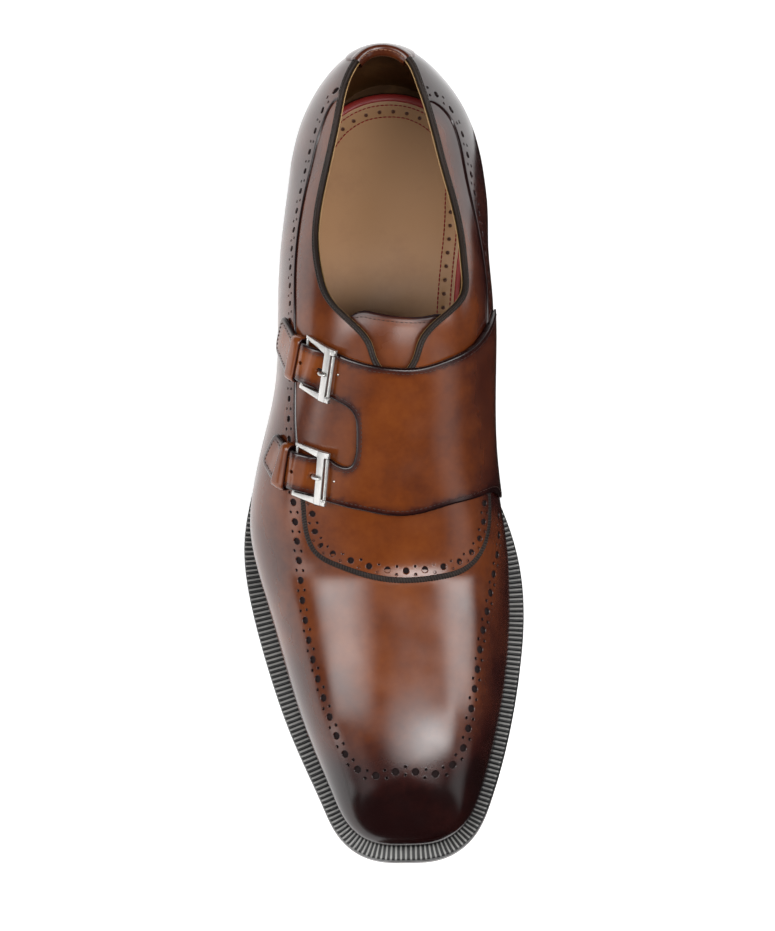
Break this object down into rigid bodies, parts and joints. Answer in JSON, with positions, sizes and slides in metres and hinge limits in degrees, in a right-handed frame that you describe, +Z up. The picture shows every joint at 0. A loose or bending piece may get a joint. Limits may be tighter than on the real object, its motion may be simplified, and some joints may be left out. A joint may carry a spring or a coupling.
{
  "type": "double monk strap shoe",
  "caption": "Man's double monk strap dress shoe with a softly squared toe, brogue punching, two buckled straps, a welted sole and a stacked heel; right foot.",
  "frame": {"origin": "centre of the heel's tread, on the floor plane", "axes": "+Z up from the floor; +Y towards the back of the heel, so the toe points along -Y; +X towards the inner (medial) side of this right shoe, -X the outer (lateral) side"},
  "size_m": [0.106, 0.3039, 0.1015],
  "materials": {
    "upper_leather": "glossy burnished calf, cognac at the instep to near-black at the toe",
    "strap_leather": "glossy burnished calf, dark at the edges",
    "tongue_leather": "glossy calf",
    "sock_leather": "matt lining leather",
    "sole_leather": "waxed dark edge, plain underside",
    "welt_leather": "black, wheeled",
    "heel_leather": "stacked layers, waxed black",
    "heel_rubber": "matt",
    "buckle_metal": "polished"
  },
  "bodies": {
    "root": {"buckle_back": "buckle_metal", "buckle_front": "buckle_metal", "heel_stack": "heel_leather", "insole": "sock_leather", "keeper_back": "strap_leather", "keeper_front": "strap_leather", "outsole": "sole_leather", "prong_back": "buckle_metal", "prong_front": "buckle_metal", "roller_back": "buckle_metal", "roller_front": "buckle_metal", "strap_panel": "strap_leather", "tongue": "tongue_leather", "top_piece": "heel_rubber", "upper": "upper_leather", "welt": "welt_leather"}
  },
  "joints": []
}
